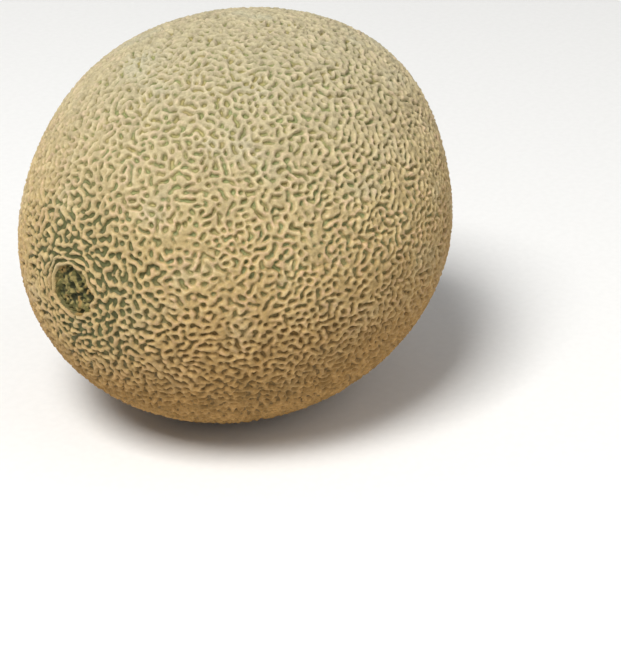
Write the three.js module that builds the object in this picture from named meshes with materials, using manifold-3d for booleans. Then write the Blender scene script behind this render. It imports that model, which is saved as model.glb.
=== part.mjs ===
// A whole netted cantaloupe melon, picked and lying on its side.
//
// Units are millimetres and +Z is up. The melon's long axis lies along X: the round scar where its
// stem slipped off is at -X and the small blossom scar is at +X. The origin is under the middle of the
// melon, on the small flat spot that it rests on.
//
// The fruit grew as one piece, so it is one solid: a smooth rind, slightly longer than it is wide,
// with a raised cork net all over it. Each opening of the net is a shallow pit whose floor is the
// rind and whose walls climb to the crest that it shares with the next opening.
import * as THREE from "three";
import { ConvexHull } from "three/addons/math/ConvexHull.js";
import { mergeVertices } from "three/addons/utils/BufferGeometryUtils.js";
import Module from "manifold-3d";

// The rind
const LENGTH = 168;
const DIAMETER = 143;
const FLAT_SPOT_RADIUS = 15;

// The net
const OPENINGS = 640;
const CREST_RISE = 1.6;
const CREST_UNEVENNESS = 0.25;
const RIDGE_WIDTH = 3.6;
const RIDGE_UNEVENNESS = 0.3;
const OPENING_JITTER = 0.34;
const EVENING_PASSES = 2;

// The stem end: a round scar, and two rings of openings that run round it
const SCAR_RADIUS = 8.5;
const SCAR_DEPTH = 1.8;
const SCAR_SIDES = 14;
const SCAR_CORE_RADIUS = 4.2;
const SCAR_CORE_RISE = 0.9;

// The blossom end: a small raised button
const BUTTON_RADIUS = 5;
const BUTTON_SIDES = 10;
const BUTTON_CORE_RADIUS = 2.8;
const BUTTON_CORE_RISE = 1.2;

// Colours: the dry cork net, and how the rind, the scar and the button are tinted beside it
const CORK_COLOUR = 0xd6c294;
const CORK_ROUGHNESS = 0.85;
const RIND_TINT = new THREE.Color(0.42, 0.5, 0.3);
const SCAR_TINT = new THREE.Color(0.34, 0.3, 0.2);

// Broad swellings and hollows of the rind, each towards a direction: how far it rises in millimetres,
// and how wide it spreads, in radians.
const SWELLINGS = [
  { towards: [-0.68, 0.39, -0.63], rise: 0.7, spread: 0.5 },
  { towards: [-0.54, 0.81, 0.24], rise: -1.9, spread: 0.45 },
  { towards: [-0.2, 0.65, 0.72], rise: 0.45, spread: 0.35 },
  { towards: [0.62, -0.23, 0.75], rise: 1.85, spread: 0.4 },
  { towards: [0.71, -0.68, 0.2], rise: -1.7, spread: 0.35 },
  { towards: [0.35, 0.6, -0.72], rise: 0.9, spread: 0.5 },
].map((one) => ({ ...one, towards: new THREE.Vector3(...one.towards).normalize() }));

const HALF_LENGTH = LENGTH / 2;
const RADIUS = DIAMETER / 2;
const STEM_END = new THREE.Vector3(-1, 0, 0);
const BLOSSOM_END = new THREE.Vector3(1, 0, 0);
const FULL_TURN = 2 * Math.PI;
const GOLDEN_ANGLE = Math.PI * (3 - Math.sqrt(5));

// A repeatable random draw between -1 and 1.
let drawState = 20;
function draw() {
  drawState = (drawState + 0x6d2b79f5) | 0;
  let bits = Math.imul(drawState ^ (drawState >>> 15), 1 | drawState);
  bits = (bits + Math.imul(bits ^ (bits >>> 7), 61 | bits)) ^ bits;
  return ((bits ^ (bits >>> 14)) >>> 0) / 2147483648 - 1;
}

// The point of the rind in a direction from the melon's middle, lifted off it by some millimetres.
function rindPoint(direction, lift = 0) {
  const swelling = SWELLINGS.reduce(
    (sum, one) => sum + one.rise * Math.exp(-((direction.angleTo(one.towards) / one.spread) ** 2)),
    0,
  );
  const outward = new THREE.Vector3(
    direction.x / HALF_LENGTH,
    direction.y / RADIUS,
    direction.z / RADIUS,
  ).normalize();
  return new THREE.Vector3(HALF_LENGTH, RADIUS, RADIUS)
    .multiply(direction)
    .addScaledVector(outward, swelling + lift);
}

// The direction that lies so many millimetres along the rind from one end, at an angle round the melon.
function besideEnd(end, distance, angle) {
  const lean = distance / RADIUS;
  return new THREE.Vector3(
    end.x * Math.cos(lean),
    Math.sin(lean) * Math.cos(angle),
    Math.sin(lean) * Math.sin(angle),
  );
}

// A ring of directions round one end, like beads on a string.
function ringOfSeeds(end, distance, count) {
  return Array.from({ length: count }, (_, i) =>
    besideEnd(end, distance, ((i + (count % 3) / 3) / count) * FULL_TURN),
  );
}

// The middles of the net's openings: the two scars, the rings round them, and a jittered spiral between.
function placeSeeds() {
  const pitch = Math.sqrt((2 * FULL_TURN) / OPENINGS);
  const rings = [
    { end: STEM_END, distance: 2 * SCAR_RADIUS, count: SCAR_SIDES },
    { end: STEM_END, distance: 3 * SCAR_RADIUS, count: SCAR_SIDES + 3 },
    { end: BLOSSOM_END, distance: 2 * BUTTON_RADIUS, count: BUTTON_SIDES },
    { end: BLOSSOM_END, distance: 3.6 * BUTTON_RADIUS, count: BUTTON_SIDES + 4 },
  ];
  const fixed = [STEM_END, BLOSSOM_END];
  for (const { end, distance, count } of rings) fixed.push(...ringOfSeeds(end, distance, count));
  const free = [];
  for (let i = 0; i < OPENINGS; i++) {
    const along = 1 - (2 * (i + 0.5)) / OPENINGS;
    const around = i * GOLDEN_ANGLE;
    const aside = Math.sqrt(1 - along * along);
    const seed = new THREE.Vector3(along, aside * Math.cos(around), aside * Math.sin(around));
    const nudge = new THREE.Vector3(draw(), draw(), draw()).multiplyScalar(OPENING_JITTER * pitch);
    seed.add(nudge).normalize();
    const stemGap = seed.angleTo(STEM_END) * RADIUS;
    const blossomGap = seed.angleTo(BLOSSOM_END) * RADIUS;
    if (stemGap > 3.6 * SCAR_RADIUS && blossomGap > 4.8 * BUTTON_RADIUS) free.push(seed);
  }
  return { fixed, free };
}

// For each seed, the corners of its opening: the points that are as far from it as from two others.
function openingsAround(seeds) {
  const corners = new Map(seeds.map((seed) => [seed, []]));
  for (const face of new ConvexHull().setFromPoints(seeds).faces) {
    const corner = face.normal.clone().normalize();
    let edge = face.edge;
    do {
      corners.get(edge.head().point).push(corner);
      edge = edge.next;
    } while (edge !== face.edge);
  }
  return seeds.map((seed) => {
    const side = new THREE.Vector3(0, 0, 1).cross(seed);
    if (side.length() < 0.1) side.set(0, 1, 0).cross(seed);
    side.normalize();
    const up = seed.clone().cross(side);
    const bearing = (corner) => Math.atan2(corner.dot(up), corner.dot(side));
    return corners.get(seed).sort((a, b) => bearing(a) - bearing(b));
  });
}

// Moves each free seed to the middle of its opening, so that no side of an opening is too short.
function evenOut({ fixed, free }) {
  let moved = free;
  for (let pass = 0; pass < EVENING_PASSES; pass++) {
    const openings = openingsAround([...fixed, ...moved]).slice(fixed.length);
    moved = openings.map((corners) =>
      corners.reduce((sum, corner) => sum.add(corner), new THREE.Vector3()).normalize(),
    );
  }
  return [...fixed, ...moved];
}

// The direction some millimetres inwards from an opening's corner, towards its seed.
function inwards(corner, seed, distance) {
  const reach = rindPoint(corner).distanceTo(rindPoint(seed));
  return corner.clone().lerp(seed, Math.min(distance / reach, 0.98)).normalize();
}

// The rings of points from an opening's crest down to its floor, the last one closed by a flat floor.
function ringsOfOpening(seed, corners, crestOf) {
  const crest = corners.map((corner) => rindPoint(corner, crestOf.get(corner)));
  const ring = (distance, lift) =>
    corners.map((corner) => rindPoint(inwards(corner, seed, distance), lift));
  if (seed === STEM_END) {
    return [
      crest,
      ring(1.4, -SCAR_DEPTH),
      ring(SCAR_RADIUS - SCAR_CORE_RADIUS, -SCAR_DEPTH * 0.7),
      ring(SCAR_RADIUS - SCAR_CORE_RADIUS * 0.7, SCAR_CORE_RISE - SCAR_DEPTH),
    ];
  }
  if (seed === BLOSSOM_END) {
    return [
      crest,
      ring(1, 0),
      ring(BUTTON_RADIUS - BUTTON_CORE_RADIUS, 0),
      ring(BUTTON_RADIUS - BUTTON_CORE_RADIUS * 0.6, BUTTON_CORE_RISE),
    ];
  }
  const width = (RIDGE_WIDTH / 2) * (1 + RIDGE_UNEVENNESS * draw());
  return [crest, ring(width, 0)];
}

// The closed surface of the netted melon, about its own middle.
function nettedSurface() {
  const seeds = evenOut(placeSeeds());
  const openings = openingsAround(seeds);
  const crestOf = new Map();
  for (const corner of openings.flat()) {
    if (!crestOf.has(corner)) crestOf.set(corner, CREST_RISE * (1 + CREST_UNEVENNESS * draw()));
  }
  const places = [];
  const triangle = (...corners) => corners.forEach((corner) => places.push(...corner));
  seeds.forEach((seed, i) => {
    const rings = ringsOfOpening(seed, openings[i], crestOf);
    const count = openings[i].length;
    for (let step = 1; step < rings.length; step++) {
      const [outer, inner] = [rings[step - 1], rings[step]];
      for (let k = 0; k < count; k++) {
        const next = (k + 1) % count;
        triangle(outer[k], outer[next], inner[next]);
        triangle(outer[k], inner[next], inner[k]);
      }
    }
    const floor = rings.at(-1);
    for (let k = 1; k < count - 1; k++) triangle(floor[0], floor[k], floor[k + 1]);
  });
  const surface = new THREE.BufferGeometry();
  surface.setAttribute("position", new THREE.Float32BufferAttribute(places, 3));
  return mergeVertices(surface, 1e-3);
}

// A closed geometry as a solid that can be cut.
function solidOf(wasm, geometry) {
  const merged = geometry.clone();
  merged.deleteAttribute("normal");
  merged.deleteAttribute("uv");
  const { attributes, index } = mergeVertices(merged, 1e-3);
  return new wasm.Manifold(
    new wasm.Mesh({
      numProp: 3,
      vertProperties: attributes.position.array,
      triVerts: new Uint32Array(index.array),
    }),
  );
}

// The melon cut level at the bottom, so that it rests on a small flat spot.
async function cutFlatSpot(surface) {
  const wasm = await Module();
  wasm.setup();
  const flatLevel = -RADIUS * Math.sqrt(1 - (FLAT_SPOT_RADIUS / RADIUS) ** 2);
  const ground = new THREE.BoxGeometry(LENGTH, LENGTH, RADIUS);
  ground.translate(0, 0, flatLevel - RADIUS / 2);
  const cut = solidOf(wasm, surface).subtract(solidOf(wasm, ground)).getMesh();
  const melon = new THREE.BufferGeometry();
  melon.setAttribute("position", new THREE.BufferAttribute(cut.vertProperties, 3));
  melon.setIndex(new THREE.BufferAttribute(cut.triVerts, 1));
  return melon;
}

// Tints each point by how far it stands above the rind: cork on the crests, green in the openings.
function tintByHeight(geometry) {
  const position = geometry.getAttribute("position");
  const cork = new THREE.Color(1, 1, 1);
  const tints = [];
  for (let i = 0; i < position.count; i++) {
    const point = new THREE.Vector3().fromBufferAttribute(position, i);
    const direction = new THREE.Vector3(
      point.x / HALF_LENGTH,
      point.y / RADIUS,
      point.z / RADIUS,
    ).normalize();
    const height = point.length() - rindPoint(direction).length();
    const inScar = direction.angleTo(STEM_END) * RADIUS < SCAR_RADIUS - 1;
    const share = THREE.MathUtils.clamp(height / CREST_RISE, 0, 1);
    tints.push(...(inScar ? SCAR_TINT : RIND_TINT.clone().lerp(cork, share)));
  }
  geometry.setAttribute("color", new THREE.Float32BufferAttribute(tints, 3));
}

// The melon as a mesh whose flat spot is at z = 0 and whose middle is over the origin.
async function melonMesh() {
  const geometry = await cutFlatSpot(nettedSurface());
  tintByHeight(geometry);
  geometry.computeVertexNormals();
  geometry.computeBoundingBox();
  const skin = new THREE.MeshStandardMaterial({
    color: CORK_COLOUR,
    roughness: CORK_ROUGHNESS,
    metalness: 0,
    vertexColors: true,
    flatShading: true,
  });
  const melon = new THREE.Mesh(geometry, skin);
  melon.name = "melon";
  const { min, max } = geometry.boundingBox;
  melon.position.set(-(min.x + max.x) / 2, -(min.y + max.y) / 2, -min.z);
  return melon;
}

const cantaloupe = new THREE.Group();
cantaloupe.add(await melonMesh());

export default cantaloupe;
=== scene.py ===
"""Dresses a netted cantaloupe melon: the rind with its fine cork net, the two scars, and a plain studio.

The melon lies along X with its stem scar at -X, and rests on the small flat spot under its middle.
Every length is in metres.
"""

import math

import bmesh
import bpy
import numpy as np
from bpy.props import FloatProperty, FloatVectorProperty, IntProperty, PointerProperty
from bpy.types import Operator, Panel, PropertyGroup
from mathutils import Matrix, Vector


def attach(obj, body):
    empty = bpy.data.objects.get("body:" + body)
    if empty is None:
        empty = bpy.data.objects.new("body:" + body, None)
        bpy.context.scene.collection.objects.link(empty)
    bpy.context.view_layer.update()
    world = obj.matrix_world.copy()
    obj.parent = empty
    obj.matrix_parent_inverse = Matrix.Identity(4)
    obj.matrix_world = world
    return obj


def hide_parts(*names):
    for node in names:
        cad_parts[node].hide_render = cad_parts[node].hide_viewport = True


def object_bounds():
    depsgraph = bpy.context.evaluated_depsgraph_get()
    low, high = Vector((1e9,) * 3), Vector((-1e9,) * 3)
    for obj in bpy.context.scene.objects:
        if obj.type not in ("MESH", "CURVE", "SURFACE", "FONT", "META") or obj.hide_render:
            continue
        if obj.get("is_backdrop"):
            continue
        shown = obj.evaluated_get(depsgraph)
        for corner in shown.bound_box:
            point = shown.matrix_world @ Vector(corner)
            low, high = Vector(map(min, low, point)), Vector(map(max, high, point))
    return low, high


bl_info = {
    "name": "Netted cantaloupe melon",
    "version": (1, 0, 0),
    "blender": (4, 5, 0),
    "location": "3D View > Sidebar > Melon",
    "description": "Grows a netted rind, its stem and blossom scars, and a studio round it",
    "category": "Add Mesh",
}

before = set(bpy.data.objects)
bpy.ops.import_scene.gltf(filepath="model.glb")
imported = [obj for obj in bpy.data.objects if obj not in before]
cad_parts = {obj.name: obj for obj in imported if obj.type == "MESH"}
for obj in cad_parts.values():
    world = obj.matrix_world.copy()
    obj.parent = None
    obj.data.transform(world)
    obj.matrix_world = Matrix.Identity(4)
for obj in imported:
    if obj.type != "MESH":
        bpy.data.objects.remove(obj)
CAD_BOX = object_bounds()

MM = 0.001
MELON_NODE = "melon"
TINY = 1e-9

# What the meshes tell the materials at each point
CORK = "cork"
CREST = "crest"
HOLLOW = "hollow"

# Broad swellings and hollows of the rind: towards a direction, how far it rises, and its spread in radians
SWELLINGS = (
    ((-0.68, 0.39, -0.63), 0.7 * MM, 0.5),
    ((-0.54, 0.81, 0.24), -1.9 * MM, 0.45),
    ((-0.2, 0.65, 0.72), 0.45 * MM, 0.35),
    ((0.62, -0.23, 0.75), 1.85 * MM, 0.4),
    ((0.71, -0.68, 0.2), -1.7 * MM, 0.35),
    ((0.35, 0.6, -0.72), 0.9 * MM, 0.5),
)

# Seeds of the wandering fields, one for each unevenness
REACH_SEED = 3
SCAR_EDGE_SEED = 5
COVER_SEED = 6
DEPTH_SEED = 8
RAGGED_SEED = 9
CORK_GRAIN_SEED = 10
SCAR_LUMPS_SEED = 21
SCAR_KNOTS_SEED = 22
BUTTON_SEED = 31
WAY_SEED = 40

# How the net grows: specks run together over a narrow and a wide reach, counted in steps
PASSES = 3
NARROW_STEPS = 7
WIDE_STEPS = 21
STEP_SHARE = 0.49
SHARE_LIMITS = (0.15, 1)
GRAIN_STRENGTH = 0.55
NO_CORK = -2

# How far from the stem scar's middle the net is sparser, and how far it runs round the scar
SPARSE_REACH = (14 * MM, 42 * MM)
ROUND_REACH = (16 * MM, 30 * MM)

# The rings of cork round the stem scar, which are whole on its upper side and broken below
RING_PITCH = 2.2 * MM
RING_START = 0.8 * MM
RING_FADE = (11 * MM, 18 * MM)
HOOD_EDGE = (-7 * MM, 5 * MM)

# How often the quarters' rims are looked through for points that they pass twice
SHARING_ROUNDS = 12

# The stem scar's wall, as shares of its radius, and how deep it goes, as a share of the scar's depth
POCKET_WALL = (0.94, 1.02)
POCKET_SHARE = 1.7

# How deep a scar's disc sits in the rind, and how far its underside bulges
DISC_DEPTH = 1.6 * MM
DISC_BELLY = 0.8 * MM

# Heights and distances over which the rind's colours change
TAN_HEIGHTS = (102 * MM, 22 * MM)
# Painted sheen: above these heights the cork is greyer, a painted reflection on the top
TOP_SHEEN_HEIGHTS = (80 * MM, 145 * MM)
GREEN_REACH = (52 * MM, 16 * MM)
SCAR_REACH = (10.5 * MM, 9 * MM)
PATCH_SHIFT = 30 * MM
PATCH = 16 * MM
BLOTCH = 5 * MM
BLUSH_PATCH = 3.5 * MM


class MelonRind(PropertyGroup):
    """The size of the smooth rind and of the marks at its two ends."""

    length: FloatProperty(
        name="Length",
        description="From end to end, without the net",
        default=168 * MM,
        unit="LENGTH",
        subtype="DISTANCE",
    )
    diameter: FloatProperty(
        name="Diameter",
        description="Across the middle, without the net",
        default=143 * MM,
        unit="LENGTH",
        subtype="DISTANCE",
    )
    flat_spot: FloatProperty(
        name="Flat spot",
        description="Radius of the spot that the melon rests on",
        default=15 * MM,
        unit="LENGTH",
        subtype="DISTANCE",
    )
    scar_radius: FloatProperty(
        name="Stem scar",
        description="Radius of the round scar where the stem slipped off",
        default=8.6 * MM,
        unit="LENGTH",
        subtype="DISTANCE",
    )
    scar_depth: FloatProperty(
        name="Stem scar's depth",
        description="How far the scar lies below the rind",
        default=1.3 * MM,
        unit="LENGTH",
        subtype="DISTANCE",
    )
    button_radius: FloatProperty(
        name="Blossom scar",
        description="Radius of the small button where the flower was",
        default=4.6 * MM,
        unit="LENGTH",
        subtype="DISTANCE",
    )


class MelonNet(PropertyGroup):
    """The cork net on the rind."""

    rise: FloatProperty(
        name="Rise",
        description="How far the net stands above the rind",
        default=0.9 * MM,
        unit="LENGTH",
        subtype="DISTANCE",
    )
    fullness: FloatProperty(
        name="Fullness",
        description="How much of the rind the cork covers: about half of it at 0",
        default=0.48,
    )
    seed: IntProperty(
        name="Seed",
        description="Picks one of the many nets that could have grown",
        default=11,
    )
    faces: IntProperty(
        name="Faces",
        description="Triangles left in the finished rind, in all four quarters",
        default=740000,
    )


def colour_property(name, description, default):
    """A colour that the panel shows, as linear red, green and blue."""
    return FloatVectorProperty(
        name=name,
        description=description,
        default=default,
        size=3,
        min=0,
        max=1,
        subtype="COLOR",
    )


class MelonColours(PropertyGroup):
    """The colours of the net, of the rind in its openings, and of the scars."""

    # Ridges is partly worn paler cork and partly a painted highlight on the crests; flats is the cork away
    # from the crests
    ridge: colour_property("Ridges", "Dry cork on the crests", (0.56, 0.44, 0.232))
    flat: colour_property("Flats", "Duller cork where the net is broad", (0.4, 0.3, 0.135))
    blush: colour_property("Blush", "Pinkish stretches of the ridges", (0.6, 0.42, 0.25))
    # Grey is used for real weathered patches, and it also paints a sheen on the top of the melon
    grey: colour_property("Grey cork", "Weathered patches of the net", (0.45, 0.43, 0.31))
    tan: colour_property("Tan cork", "The net near the ground", (0.4, 0.235, 0.08))
    olive: colour_property("Openings", "Rind between the ridges", (0.35, 0.3, 0.125))
    leaf: colour_property("Greener openings", "Rind that has kept some green", (0.27, 0.285, 0.12))
    green: colour_property("Openings by the stem", "Unripe green rind", (0.108, 0.11, 0.04))
    brown: colour_property("Openings low down", "Browned rind near the ground", (0.22, 0.13, 0.038))
    pit: colour_property("Pits", "The darkest hollows of rind and scars", (0.035, 0.037, 0.013))
    scar: colour_property("Scar", "Dried tissue of the scars", (0.11, 0.1, 0.032))
    ochre: colour_property("Scar's fibres", "Paler fibres in the scars", (0.3, 0.24, 0.09))


def read(items, name, kind, width=1):
    """One value, or a row of them, for each of a mesh's points, corners or faces."""
    values = np.empty(len(items) * width, kind)
    items.foreach_get(name, values)
    return values.reshape(-1, width) if width > 1 else values


def write_values(mesh, name, values):
    """Gives each of a mesh's points a value under a name that a material can read."""
    mesh.attributes.new(name, "FLOAT", "POINT").data.foreach_set("value", values)


def finish_mesh(shape, name):
    """The bmesh as a named mesh."""
    mesh = bpy.data.meshes.new(name)
    shape.to_mesh(mesh)
    shape.free()
    return mesh


def add_object(name, data):
    """A new object in the scene, at its origin."""
    made = bpy.data.objects.new(name, data)
    bpy.context.scene.collection.objects.link(made)
    return made


def smooth(mesh):
    """Shades a mesh as one rounded surface."""
    mesh.polygons.foreach_set("use_smooth", [True] * len(mesh.polygons))


class FineSkin:
    """The rind as a fine, even mesh: each point's place, the way out, and its six neighbours."""

    SUBDIVISIONS = 9

    def __init__(self, rind):
        sphere = bmesh.new()
        bmesh.ops.create_icosphere(sphere, subdivisions=self.SUBDIVISIONS, radius=1)
        self.mesh = finish_mesh(sphere, "fine skin")
        self.count = len(self.mesh.vertices)
        toward = read(self.mesh.vertices, "co", np.float32, 3)
        self.places, self.outward = rind_places(toward, rind)
        self.near = self.neighbours()
        self.weight = np.full((self.count, 6), 1 / 6, np.float32)

    def neighbours(self):
        """For each point, the six points that it shares an edge with; twelve points have only five."""
        corners = read(self.mesh.loops, "vertex_index", np.int32)
        triangles = corners.reshape(-1, 3)
        ends = np.roll(triangles, -1, axis=1).ravel()
        order = np.argsort(corners, kind="stable")
        starts, ends = corners[order], ends[order]
        first = np.searchsorted(starts, np.arange(self.count))
        table = np.repeat(np.arange(self.count, dtype=np.int32)[:, None], 6, axis=1)
        table[starts, np.arange(len(starts)) - first[starts]] = ends
        return table

    def gap_weight(self):
        """How far the values run at each point, so that the mesh's uneven gaps don't show in a pattern."""
        step = self.places[self.near] - self.places[:, None]
        gap = np.einsum("ijk,ijk->i", step, step)
        return gap.mean() / gap

    def grain_weight(self, way, strength):
        """Weights that draw a pattern out along a way at each point."""
        way = way - np.einsum("ij,ij->i", way, self.outward)[:, None] * self.outward
        way /= np.linalg.norm(way, axis=1, keepdims=True) + TINY
        step = self.places[self.near] - self.places[:, None]
        share = np.einsum("ijk,ik->ij", step, way) ** 2
        share /= np.einsum("ijk,ijk->ij", step, step) + TINY * MM
        weight = 1 + strength * (2 * share - 1)
        return (weight / weight.sum(axis=1, keepdims=True)).astype(np.float32)

    def spread(self, field, steps, share=1.0, weight=None):
        """Lets a value at each point run into its neighbours' values, a number of times."""
        weight = self.weight if weight is None else weight
        for _ in range(steps):
            around = np.einsum("ij,ij->i", field[self.near], weight)
            field = field + share * (around - field)
        return field


def rest_height(rind):
    """How high the melon's middle is above the flat spot."""
    radius = rind.diameter / 2
    return radius * math.sqrt(1 - (rind.flat_spot / radius) ** 2)


def rind_places(toward, rind):
    """The rind's points in the directions from the melon's middle, and which way is out at each."""
    half = np.array([rind.length, rind.diameter, rind.diameter]) / 2
    outward = toward / half
    outward /= np.linalg.norm(outward, axis=1, keepdims=True)
    rise = np.zeros(len(toward))
    for centre, height, width in SWELLINGS:
        centre = np.array(centre) / np.linalg.norm(centre)
        angle = np.arccos(np.clip(toward @ centre, -1, 1))
        rise += height * np.exp(-((angle / width) ** 2))
    places = toward * half + outward * rise[:, None]
    places[:, 2] += rest_height(rind)
    return places.astype(np.float32), outward.astype(np.float32)


def wander(places, wavelength, seed, waves=28):
    """A smooth random field about 0, of size about 1, whose hills are about a wavelength apart."""
    draw = np.random.default_rng(seed)
    ways = draw.standard_normal((waves, 3))
    ways /= np.linalg.norm(ways, axis=1, keepdims=True)
    ways *= 2 * math.pi / wavelength * draw.uniform(0.7, 1.3, (waves, 1))
    turns = draw.uniform(0, 2 * math.pi, waves)
    field = np.zeros(len(places), np.float32)
    for way, turn in zip(ways.astype(np.float32), turns):
        field += np.cos(places @ way + np.float32(turn))
    return field * math.sqrt(2 / waves)


def ramp(value, low, high):
    """0 below low, 1 above high, and a smooth rise between."""
    share = np.clip((value - low) / (high - low), 0, 1)
    return share * share * (3 - 2 * share)


def end_gap(places, rind, side):
    """How far each point is from the middle of the stem scar (side -1) or the blossom scar (side 1)."""
    end = np.array([side * rind.length / 2, 0, rest_height(rind)], np.float32)
    return np.linalg.norm(places - end, axis=1)


def stem_ring(places, rind):
    """How far each point is from the stem scar's middle, as if the scar's uneven edge were round."""
    return end_gap(places, rind, -1) + 0.45 * MM * wander(places, 6 * MM, SCAR_EDGE_SEED)


def grain_way(skin, stem):
    """Which way the net is drawn out at each point: any way, and round the scar near the stem."""
    anyhow = np.stack([wander(skin.places, 9 * MM, WAY_SEED + axis) for axis in range(3)], axis=1)
    around = 1.5 * np.cross((1, 0, 0), skin.outward)
    share = (1 - ramp(stem, *ROUND_REACH))[:, None]
    return anyhow * (1 - share) + around * share


def net_cover(places, rind, net):
    """How readily cork forms at each point: less low down, in rings round the stem, not in the scars."""
    low = 1 - ramp(places[:, 2], 20 * MM, 70 * MM)
    ringed = stem_ring(places, rind)
    rings = np.cos(2 * math.pi * (ringed - rind.scar_radius - RING_START) / RING_PITCH)
    hood = ramp(places[:, 2] - rest_height(rind) + 0.5 * places[:, 1], *HOOD_EDGE)
    cover = net.fullness + 0.08 * wander(places, 13 * MM, COVER_SEED) - 0.3 * low
    cover = cover + (0.25 + 0.75 * hood) * rings * (1 - ramp(ringed, *RING_FADE))
    cover = np.where(ringed < rind.scar_radius, NO_CORK, cover)
    in_button = end_gap(places, rind, 1) < rind.button_radius
    return np.where(in_button, NO_CORK, cover).astype(np.float32)


def grow_net(skin, rind, net):
    """How far each point is inside the cork: above 0 on the net, and below 0 in its openings.

    Random specks are run together over a narrow and a wide reach again and again, and what the narrow
    reach holds more of is kept. Dashes, hooks and worms of an even pitch are left between the ridges.
    """
    stem = end_gap(skin.places, rind, -1)
    sparse = 1 - ramp(stem, *SPARSE_REACH)
    weight = skin.grain_weight(grain_way(skin, stem), GRAIN_STRENGTH)
    uneven = 1 + 0.08 * wander(skin.places, 24 * MM, REACH_SEED) + 0.2 * sparse
    reach = np.clip(STEP_SHARE * skin.gap_weight() * uneven, *SHARE_LIMITS).astype(np.float32)
    cover = net_cover(skin.places, rind, net)
    field = np.random.default_rng(net.seed).standard_normal(skin.count).astype(np.float32)
    for _ in range(PASSES):
        narrow = skin.spread(field, NARROW_STEPS, reach, weight)
        contrast = narrow - skin.spread(narrow, WIDE_STEPS, reach, weight)
        inside = contrast / contrast.std() + cover
        field = np.tanh(inside)
    ragged = 0.22 * wander(skin.places, 2 * MM, RAGGED_SEED)
    return skin.spread(inside - 0.75 * sparse, 1) + ragged


def net_height(skin, rind, net, inside):
    """How high each point stands above the rind, and how far above the net about it: its crests."""
    cork = 1 / (1 + np.exp(-5 * (inside + 0.1)))
    shoulder = skin.spread(cork, 1)
    breadth = skin.spread(cork, 10)
    depth = 1 + 0.2 * wander(skin.places, 5 * MM, DEPTH_SEED)
    rounded = np.clip(inside - 0.7, -1, 1.2)
    grain = 0.06 * cork * wander(skin.places, 1.5 * MM, CORK_GRAIN_SEED)
    height = 1 - depth * (1 - shoulder) - 0.15 * (1 - breadth)
    height += 0.4 * rounded + grain
    height *= net.rise
    pocket = stem_ring(skin.places, rind) / rind.scar_radius
    height -= POCKET_SHARE * rind.scar_depth * (1 - ramp(pocket, *POCKET_WALL))
    return height, shoulder - breadth


def scar_disc(name, rind, side, radius, shape):
    """A closed disc of dried tissue let into one end, whose top is raised by a shape."""
    disc = bmesh.new()
    bmesh.ops.create_icosphere(disc, subdivisions=6, radius=1)
    mesh = finish_mesh(disc, name)
    toward = read(mesh.vertices, "co", float, 3)
    up = side * toward[:, 0]
    share = np.sqrt(1 - np.abs(up))
    across = toward[:, 1:] / (np.linalg.norm(toward[:, 1:], axis=1, keepdims=True) + TINY)
    gap = radius * share
    flat = np.concatenate([np.zeros((len(gap), 1)), across * gap[:, None]], axis=1)
    end = rind.length / 2 * np.sqrt(1 - (2 * gap / rind.diameter) ** 2)
    lift, rough = shape(share, flat)
    edge = 1 - share**10
    sunk = -DISC_DEPTH - DISC_BELLY * (1 - share**2)
    out = np.where(up > 0, lift * edge - DISC_DEPTH * (1 - edge), sunk)
    places = flat + np.array([0, 0, rest_height(rind)])
    places[:, 0] = side * (end + out)
    mesh.vertices.foreach_set("co", places.ravel())
    write_values(mesh, HOLLOW, rough)
    smooth(mesh)
    return add_object(name, mesh)


def stem_shape(rind):
    """The stem scar: a rough hollow with a low ring, pits and torn fibres."""

    def shape(share, flat):
        lumps = wander(flat, 3.8 * MM, SCAR_LUMPS_SEED)
        knots = wander(flat, 1.7 * MM, SCAR_KNOTS_SEED)
        rough = 0.55 * lumps + 0.45 * knots
        lift = -0.9 * rind.scar_depth + MM * (0.4 * lumps + 0.28 * knots + 0.7 * ramp(share, 0.7, 1))
        return lift, rough

    return shape


def button_shape(rind):
    """The blossom scar: a low cork button with cracks that run round it."""

    def shape(share, flat):
        lumps = wander(flat, 1.8 * MM, BUTTON_SEED)
        cracks = np.cos(share * 17 + 0.8 * lumps)
        lift = MM * (0.15 + 0.75 * (1 - ramp(share, 0.2, 0.85)) + 0.1 * cracks + 0.1 * lumps)
        return lift, 0.6 * cracks + 0.5 * lumps

    return shape


def netted_rind(rind, net):
    """The whole netted rind as a mesh, thinned to the number of faces that the net needs."""
    skin = FineSkin(rind)
    field = grow_net(skin, rind, net)
    height, crest = net_height(skin, rind, net, field)
    places = skin.places + skin.outward * height[:, None]
    places[:, 2] = np.maximum(places[:, 2], 0)
    skin.mesh.vertices.foreach_set("co", places.astype(np.float32).ravel())
    write_values(skin.mesh, CORK, field.astype(np.float32))
    write_values(skin.mesh, CREST, crest.astype(np.float32))
    whole = add_object("whole rind", skin.mesh)
    thin = whole.modifiers.new("Thin", "DECIMATE")
    thin.ratio = net.faces / len(skin.mesh.polygons)
    apply_modifiers(whole)
    mesh = whole.data
    bpy.data.objects.remove(whole)
    return mesh


def rim_edges(triangles, count):
    """The edges that only one of the triangles has, each the way that its triangle runs."""
    edges = np.concatenate([triangles[:, [0, 1]], triangles[:, [1, 2]], triangles[:, [2, 0]]])
    keys = edges[:, 0].astype(np.int64) * count + edges[:, 1]
    back = edges[:, 1].astype(np.int64) * count + edges[:, 0]
    return edges[~np.isin(keys, back)]


def share_out(triangles, centre, count):
    """Which of the four quarters each triangle belongs to, so that no rim passes a point twice."""
    side = (centre[:, 1] > 0) * 2 + (centre[:, 2] > 0)
    for _ in range(SHARING_ROUNDS):
        pinched = False
        for number in range(4):
            rim = rim_edges(triangles[side == number], count)
            points, visits = np.unique(rim[:, 0], return_counts=True)
            if visits.max() > 1:
                side[np.isin(triangles, points[visits > 1]).any(axis=1)] = number
                pinched = True
        if not pinched:
            return side
    raise RuntimeError("A quarter of the rind still meets itself at a point")


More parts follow.
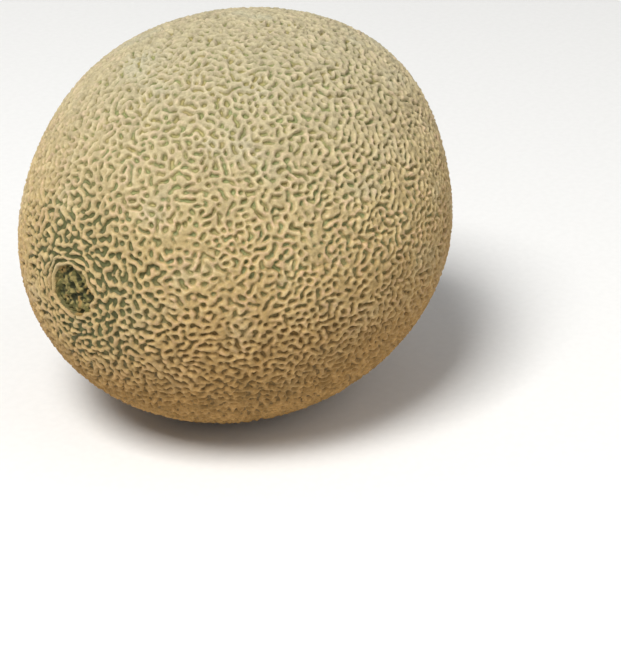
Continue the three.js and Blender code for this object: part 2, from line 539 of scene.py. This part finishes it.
def quarters(mesh, middle):
    """The rind's four long quarters, each closed by flat walls that meet on the melon's middle.

    Their edges share the whole rind's points and ways out, so no seam shows between them.
    """
    places = read(mesh.vertices, "co", np.float32, 3)
    outward = read(mesh.vertex_normals, "vector", np.float32, 3)
    triangles = read(mesh.loops, "vertex_index", np.int32).reshape(-1, 3)
    fields = {name: read(mesh.attributes[name].data, "value", np.float32) for name in (CORK, CREST)}
    side = share_out(triangles, places[triangles].mean(axis=1) - middle, len(places))
    for number in range(4):
        own = triangles[side == number]
        used, corners = np.unique(own, return_inverse=True)
        rim = np.searchsorted(used, rim_edges(own, len(places)))
        walls = np.concatenate([rim[:, ::-1], np.full((len(rim), 1), len(used))], axis=1)
        faces = np.concatenate([corners.reshape(-1, 3), walls])
        quarter = bpy.data.meshes.new(f"netted_rind_{number + 1}")
        quarter.from_pydata(np.concatenate([places[used], [middle]]), [], faces)
        for name, values in fields.items():
            write_values(quarter, name, np.append(values[used], np.float32(0)))
        smooth(quarter)
        quarter.normals_split_custom_set_from_vertices(np.concatenate([outward[used], [(0, 0, 1)]]))
        yield add_object(quarter.name, quarter)


def apply_modifiers(piece):
    """Puts what the modifiers make in place of the piece's mesh."""
    shown = piece.evaluated_get(bpy.context.evaluated_depsgraph_get())
    made = bpy.data.meshes.new_from_object(shown)
    rough = piece.data
    piece.modifiers.clear()
    piece.data = made
    made.name = piece.name
    bpy.data.meshes.remove(rough)


def settle(piece, material):
    """Gives a finished piece its material and ties it to the melon."""
    piece.data.materials.clear()
    piece.data.materials.append(material)
    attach(piece, "root")


class Nodes:
    """Adds nodes to a tree and joins them."""

    def __init__(self, tree):
        self.tree = tree
        tree.nodes.clear()

    def add(self, kind, inputs=None, **settings):
        """A new node, with its inputs joined to other nodes' outputs or given a value."""
        node = self.tree.nodes.new(kind)
        for name, value in settings.items():
            setattr(node, name, value)
        for name, value in (inputs or {}).items():
            if isinstance(value, bpy.types.NodeSocket):
                self.tree.links.new(value, node.inputs[name])
            else:
                node.inputs[name].default_value = value
        return node

    def math(self, operation, a, b=0.0):
        """The result of one operation on two values."""
        return self.add("ShaderNodeMath", {0: a, 1: b}, operation=operation).outputs[0]

    def ramp(self, value, low, high, start=0.0, end=1.0):
        """A smooth rise from start to end, as value goes from low to high."""
        wires = {"Value": value, "From Min": low, "From Max": high, "To Min": start, "To Max": end}
        node = self.add("ShaderNodeMapRange", wires, interpolation_type="SMOOTHSTEP")
        return node.outputs["Result"]

    def mix(self, share, a, b, blend="MIX"):
        """Colour a, going over to colour b as share goes to 1."""
        node = self.add("ShaderNodeMix", data_type="RGBA", blend_type=blend)
        for index, value in ((0, share), (6, a), (7, b)):
            if isinstance(value, bpy.types.NodeSocket):
                self.tree.links.new(value, node.inputs[index])
            elif index == 0:
                node.inputs[index].default_value = value
            else:
                node.inputs[index].default_value = (*value, 1)
        return node.outputs[2]

    def noise(self, wavelength, detail=2.0, roughness=0.5):
        """Noise from 0 to 1 in the piece's own space."""
        where = self.add("ShaderNodeTexCoord").outputs["Object"]
        wires = {"Vector": where, "Scale": 1 / wavelength, "Detail": detail, "Roughness": roughness}
        return self.add("ShaderNodeTexNoise", wires).outputs[0]

    def attribute(self, name):
        """The value that the piece's mesh carries under a name."""
        return self.add("ShaderNodeAttribute", attribute_name=name).outputs["Fac"]


def new_group(name, inputs, outputs):
    """An empty node group with named sockets, and the helper that adds nodes to it."""
    group = bpy.data.node_groups.new(name, "ShaderNodeTree")
    for socket, kind, value in inputs:
        group.interface.new_socket(socket, in_out="INPUT", socket_type=kind).default_value = value
    for socket, kind in outputs:
        group.interface.new_socket(socket, in_out="OUTPUT", socket_type=kind)
    return group, Nodes(group)


def dry_grain_group():
    """Fine dry grain, used by every material of the melon: a tone that varies about 1, and a height."""
    name = "Dry grain"
    if name in bpy.data.node_groups:
        return bpy.data.node_groups[name]
    group, nodes = new_group(
        name,
        inputs=(("Size", "NodeSocketFloat", 0.6 * MM), ("Variation", "NodeSocketFloat", 0.2)),
        outputs=(("Tone", "NodeSocketFloat"), ("Height", "NodeSocketFloat")),
    )
    given = nodes.add("NodeGroupInput").outputs
    where = nodes.add("ShaderNodeTexCoord").outputs["Object"]
    scale = nodes.math("DIVIDE", 1.0, given["Size"])
    fine = nodes.add(
        "ShaderNodeTexNoise",
        {"Vector": where, "Scale": scale, "Detail": 3.0, "Roughness": 0.6},
    ).outputs[0]
    broad_scale = nodes.math("MULTIPLY", scale, 0.22)
    broad = nodes.add(
        "ShaderNodeTexNoise",
        {"Vector": where, "Scale": broad_scale, "Detail": 2.0, "Roughness": 0.5},
    ).outputs[0]
    about = nodes.math("SUBTRACT", nodes.math("ADD", fine, broad), 1.0)
    tone = nodes.math("ADD", nodes.math("MULTIPLY", about, given["Variation"]), 1.0)
    nodes.add("NodeGroupOutput", {"Tone": tone, "Height": fine})
    return group


def dried_tissue_group():
    """Mottled dried tissue, in the scars and on the stem scar's wall: fibres and patches on a base."""
    name = "Dried tissue"
    if name in bpy.data.node_groups:
        return bpy.data.node_groups[name]
    group, nodes = new_group(
        name,
        inputs=[(socket, "NodeSocketColor", (0.2, 0.2, 0.2, 1)) for socket in ("Base", "Fibre", "Patches")],
        outputs=[("Colour", "NodeSocketColor")],
    )
    given = nodes.add("NodeGroupInput").outputs
    fibrous = nodes.ramp(nodes.noise(2.6 * MM, 3.0), 0.45, 0.62)
    patchy = nodes.ramp(nodes.noise(4.2 * MM), 0.5, 0.62, 0, 0.6)
    colour = nodes.mix(fibrous, given["Base"], given["Fibre"])
    nodes.add("NodeGroupOutput", {"Colour": nodes.mix(patchy, colour, given["Patches"])})
    return group


def grained(nodes, size, variation):
    """The dry grain group in a material, with its own size and variation."""
    grain = nodes.add("ShaderNodeGroup", node_tree=dry_grain_group())
    grain.inputs["Size"].default_value = size
    grain.inputs["Variation"].default_value = variation
    return grain.outputs["Tone"], grain.outputs["Height"]


def finish_surface(nodes, colour, roughness, height, bump):
    """The surface shader with a bump, joined to the material's output."""
    normal = nodes.add(
        "ShaderNodeBump", {"Height": height, "Strength": 0.8, "Distance": bump}
    ).outputs["Normal"]
    surface = nodes.add(
        "ShaderNodeBsdfPrincipled",
        {"Base Color": colour, "Roughness": roughness, "Normal": normal, "Specular IOR Level": 0.28},
    )
    nodes.add("ShaderNodeOutputMaterial", {"Surface": surface.outputs[0]})


def new_material(name):
    """An empty material, and the helper that adds nodes to it."""
    material = bpy.data.materials.new(name)
    material.use_nodes = True
    return material, Nodes(material.node_tree)


def toned(nodes, colour, tone):
    """The colour, made lighter or darker by a tone about 1."""
    grey = nodes.add("ShaderNodeCombineColor", {0: tone, 1: tone, 2: tone}).outputs[0]
    return nodes.mix(1.0, colour, grey, "MULTIPLY")


def dried(nodes, colours, base, fibre):
    """The dried tissue group in a material, with its own base and fibres."""
    tissue = nodes.add("ShaderNodeGroup", node_tree=dried_tissue_group())
    for name, colour in (("Base", base), ("Fibre", fibre), ("Patches", colours.tan)):
        tissue.inputs[name].default_value = (*colour, 1)
    return tissue.outputs["Colour"]


def opening_colour(nodes, colours, cork, blotch, low, by_stem, stem):
    """The rind in the net's openings: olive, brown low down, green by the stem, darker at its rim."""
    floor = nodes.mix(nodes.ramp(blotch, 0.38, 0.58), colours.leaf, colours.olive)
    floor = nodes.mix(nodes.ramp(blotch, 0.6, 0.75, 0, 0.45), floor, colours.flat)
    floor = nodes.mix(nodes.ramp(low, 0.05, 0.6), floor, colours.brown)
    floor = nodes.mix(by_stem, floor, colours.green)
    scar = dried(nodes, colours, colours.scar, colours.ochre)
    floor = nodes.mix(nodes.ramp(stem, *SCAR_REACH), floor, scar)
    rim = nodes.mix(0.28, floor, colours.pit)
    return nodes.mix(nodes.ramp(cork, -0.6, -1.3), rim, floor)


def ridge_colour(nodes, colours, patch, blotch, low, high, by_stem):
    """The cork: pale on its crests, duller where it is flat, grey on top and stained tan low down."""
    blushing = nodes.ramp(nodes.noise(BLUSH_PATCH), 0.45, 0.62)
    crown = nodes.mix(blushing, colours.ridge, colours.blush)
    # Painted highlight, with some wear: the cork is paler on its crests near the openings
    crest_highlight_and_wear = nodes.ramp(nodes.attribute(CREST), 0.02, 0.25)
    shown = nodes.math("MULTIPLY", crest_highlight_and_wear, nodes.ramp(by_stem, 0, 1, 1, 0.55))
    ridge = nodes.mix(shown, colours.flat, crown)
    # Painted sheen grows towards the top, and random weathered grey patches are added to it
    grey_patches_and_sheen = nodes.math("MULTIPLY", high, 0.6)
    grey_patches_and_sheen = nodes.math("ADD", grey_patches_and_sheen, nodes.ramp(patch, 0.52, 0.75, 0, 0.25))
    ridge = nodes.mix(grey_patches_and_sheen, ridge, colours.grey)
    aged = nodes.math("MULTIPLY", low, nodes.ramp(by_stem, 0, 1, 1, 0.5))
    ridge = nodes.mix(aged, ridge, colours.tan)
    stain = nodes.math("MULTIPLY", aged, nodes.ramp(blotch, 0.6, 0.4, 0, 0.5))
    return nodes.mix(stain, ridge, colours.brown)


def rind_material(rind, colours):
    """Cork on the net and rind in its openings, told apart by how far a point is inside the cork."""
    material, nodes = new_material("netted rind")
    where = nodes.add("ShaderNodeTexCoord").outputs["Object"]
    stem_place = (-rind.length / 2, 0, rest_height(rind))
    stem = nodes.add(
        "ShaderNodeVectorMath", {0: where, 1: stem_place}, operation="DISTANCE"
    ).outputs["Value"]
    height = nodes.add("ShaderNodeSeparateXYZ", {0: where}).outputs["Z"]
    patch = nodes.noise(PATCH)
    blotch = nodes.noise(BLOTCH)
    shift = nodes.math("MULTIPLY", nodes.math("SUBTRACT", patch, 0.5), PATCH_SHIFT)
    low = nodes.ramp(nodes.math("ADD", height, shift), *TAN_HEIGHTS)
    # A painted sheen that greys the net towards the top
    high = nodes.ramp(height, *TOP_SHEEN_HEIGHTS)
    by_stem = nodes.ramp(nodes.math("ADD", stem, shift), *GREEN_REACH)
    cork = nodes.attribute(CORK)
    tone, fine = grained(nodes, 0.8 * MM, 0.7)
    wobble = nodes.math("MULTIPLY", nodes.math("SUBTRACT", fine, 0.5), 0.6)
    on_net = nodes.ramp(nodes.math("ADD", cork, wobble), -0.6, 0.25)
    opening = opening_colour(nodes, colours, cork, blotch, low, by_stem, stem)
    ridge = ridge_colour(nodes, colours, patch, blotch, low, high, by_stem)
    colour = toned(nodes, nodes.mix(on_net, opening, ridge), tone)
    roughness = nodes.ramp(on_net, 0, 1, 0.55, 0.82)
    finish_surface(nodes, colour, roughness, fine, 0.2 * MM)
    return material


def scar_material(name, colours, base, fibre, darkest):
    """Dried tissue: as dark as darkest, from 0 to 1, in its hollows, and paler on its fibres."""
    material, nodes = new_material(name)
    tone, fine = grained(nodes, 0.7 * MM, 0.7)
    hollow = nodes.attribute(HOLLOW)
    colour = dried(nodes, colours, base, fibre)
    colour = nodes.mix(nodes.ramp(hollow, 0.15, -0.6, 0, darkest), colour, colours.pit)
    colour = toned(nodes, colour, tone)
    roughness = nodes.ramp(fine, 0.3, 0.7, 0.7, 0.9)
    finish_surface(nodes, colour, roughness, fine, 0.3 * MM)
    return material


class MELON_OT_netted_rind(Operator):
    """Grow the rind and its raised cork net"""

    bl_idname = "melon.netted_rind"
    bl_label = "Netted rind"

    def execute(self, context):
        scene = context.scene
        rind = scene.melon_rind
        if MELON_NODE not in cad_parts:
            raise RuntimeError(f"The frame has no node named {MELON_NODE}")
        material = rind_material(rind, scene.melon_colours)
        whole = netted_rind(rind, scene.melon_net)
        for piece in quarters(whole, (0, 0, rest_height(rind))):
            settle(piece, material)
            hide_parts(MELON_NODE)
        bpy.data.meshes.remove(whole)
        return {"FINISHED"}


class MELON_OT_scars(Operator):
    """Let the stem scar and the blossom scar into the melon's two ends"""

    bl_idname = "melon.scars"
    bl_label = "Scars"

    def execute(self, context):
        rind = context.scene.melon_rind
        colours = context.scene.melon_colours
        stem = scar_disc("stem_scar", rind, -1, rind.scar_radius + 1 * MM, stem_shape(rind))
        settle(stem, scar_material("stem scar", colours, colours.scar, colours.ochre, 1.0))
        button = scar_disc("blossom_scar", rind, 1, rind.button_radius + 0.4 * MM, button_shape(rind))
        settle(button, scar_material("blossom scar", colours, colours.tan, colours.flat, 0.45))
        return {"FINISHED"}


# The studio

CAMERA_AZIMUTH = -49.0
CAMERA_ELEVATION = 23.3
CAMERA_DISTANCE = 736 * MM
CAMERA_LENS = 110
CAMERA_SENSOR = 36
IMAGE_SIZE = (621, 671)
MIDDLE_PIXEL = (239.8, 215.1)
WORLD_COLOUR = (0.96, 0.98, 1, 1)
WORLD_STRENGTH = 0.22
FLOOR_REACH = 4.5
FLOOR_CELLS = 90
BACKDROP_START = 3.0
BACKDROP_HEIGHT = 1.3


def camera_axes(azimuth, elevation):
    """Right, up and back of a camera that looks at the melon from an angle round it and above it."""
    a, e = math.radians(azimuth), math.radians(elevation)
    back = Vector((math.sin(a) * math.cos(e), -math.cos(a) * math.cos(e), math.sin(e)))
    right = Vector((math.cos(a), math.sin(a), 0))
    return Matrix((right, back.cross(right), back))


def place_camera(middle):
    """A camera on the melon's middle, turned a little so that the middle lands on its pixel."""
    look = camera_axes(CAMERA_AZIMUTH, CAMERA_ELEVATION)
    pixels = CAMERA_LENS / CAMERA_SENSOR * max(IMAGE_SIZE)
    aside = (MIDDLE_PIXEL[0] - IMAGE_SIZE[0] / 2) / pixels
    below = (MIDDLE_PIXEL[1] - IMAGE_SIZE[1] / 2) / pixels
    turn = Vector((0, 0, -1)).rotation_difference(Vector((aside, -below, -1))).to_matrix()
    camera = add_object("camera", bpy.data.cameras.new("camera"))
    camera.data.lens = CAMERA_LENS
    camera.data.sensor_width = CAMERA_SENSOR
    camera.data.clip_end = 20
    place = Matrix.Translation(middle + look[2] * CAMERA_DISTANCE)
    camera.matrix_world = place @ (turn @ look).transposed().to_4x4()
    bpy.context.scene.camera = camera


def place_light(name, middle, azimuth, elevation, distance, size, power, colour):
    """A soft square light, turned to the melon's middle."""
    light = bpy.data.lights.new(name, "AREA")
    light.size = size
    light.energy = power
    light.color = colour
    lamp = add_object(name, light)
    axes = camera_axes(azimuth, elevation)
    lamp.matrix_world = Matrix.Translation(middle + axes[2] * distance) @ axes.transposed().to_4x4()


def lay_floor():
    """A wide pale floor with a faint grain, which curves up to a low backdrop far out."""
    sheet = bmesh.new()
    bmesh.ops.create_grid(sheet, x_segments=FLOOR_CELLS, y_segments=FLOOR_CELLS, size=FLOOR_REACH)
    for point in sheet.verts:
        point.co.z = BACKDROP_HEIGHT * ramp(point.co.length, BACKDROP_START, FLOOR_REACH)
    mesh = finish_mesh(sheet, "floor")
    smooth(mesh)
    floor = add_object("floor", mesh)
    material, nodes = new_material("pale floor")
    speck = nodes.noise(3 * MM, 3.0)
    colour = nodes.mix(nodes.ramp(speck, 0.3, 0.7), (0.9, 0.9, 0.9), (0.88, 0.88, 0.88))
    finish_surface(nodes, colour, 0.9, speck, 0.02 * MM)
    mesh.materials.append(material)
    floor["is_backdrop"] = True


class MELON_OT_studio(Operator):
    """Set up the floor, the soft lights and the camera"""

    bl_idname = "melon.studio"
    bl_label = "Studio"

    def execute(self, context):
        scene = context.scene
        middle = Vector((0, 0, rest_height(scene.melon_rind)))
        place_camera(middle)
        lay_floor()
        place_light(
            "key",
            middle,
            azimuth=-80,
            elevation=56,
            distance=2.6,
            size=1,
            power=76,
            colour=(1, 0.99, 0.96),
        )
        place_light(
            "fill",
            middle,
            azimuth=20,
            elevation=35,
            distance=3,
            size=2.8,
            power=19,
            colour=(1, 0.97, 0.92),
        )
        world = bpy.data.worlds.new("studio")
        world.use_nodes = True
        background = world.node_tree.nodes["Background"]
        background.inputs["Color"].default_value = WORLD_COLOUR
        background.inputs["Strength"].default_value = WORLD_STRENGTH
        scene.world = world
        scene.view_settings.view_transform = "Standard"
        return {"FINISHED"}


class MELON_PT_panel(Panel):
    """Lists the melon's sizes, colours and pieces"""

    bl_idname = "MELON_PT_panel"
    bl_label = "Cantaloupe melon"
    bl_space_type = "VIEW_3D"
    bl_region_type = "UI"
    bl_category = "Melon"

    def draw(self, context):
        layout = self.layout
        for group in (context.scene.melon_rind, context.scene.melon_net, context.scene.melon_colours):
            box = layout.box()
            for name in group.__annotations__:
                box.prop(group, name)
        for operator in OPERATORS:
            layout.operator(operator.bl_idname)


GROUPS = (
    ("melon_rind", MelonRind),
    ("melon_net", MelonNet),
    ("melon_colours", MelonColours),
)
OPERATORS = (MELON_OT_netted_rind, MELON_OT_scars, MELON_OT_studio)


def register():
    """Adds the melon's settings, operators and panel."""
    for name, group in GROUPS:
        bpy.utils.register_class(group)
        setattr(bpy.types.Scene, name, PointerProperty(type=group))
    for operator in OPERATORS:
        bpy.utils.register_class(operator)
    bpy.utils.register_class(MELON_PT_panel)


def unregister():
    """Takes them away again."""
    bpy.utils.unregister_class(MELON_PT_panel)
    for operator in reversed(OPERATORS):
        bpy.utils.unregister_class(operator)
    for name, group in reversed(GROUPS):
        delattr(bpy.types.Scene, name)
        bpy.utils.unregister_class(group)


def main():
    """Builds the dressed melon and its studio."""
    register()
    bpy.ops.melon.netted_rind()
    bpy.ops.melon.scars()
    bpy.ops.melon.studio()
    boxes = {"cad": CAD_BOX, "visual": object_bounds()}
    {name: [list(corner) for corner in box] for name, box in boxes.items()}


if __name__ == "__main__":
    main()
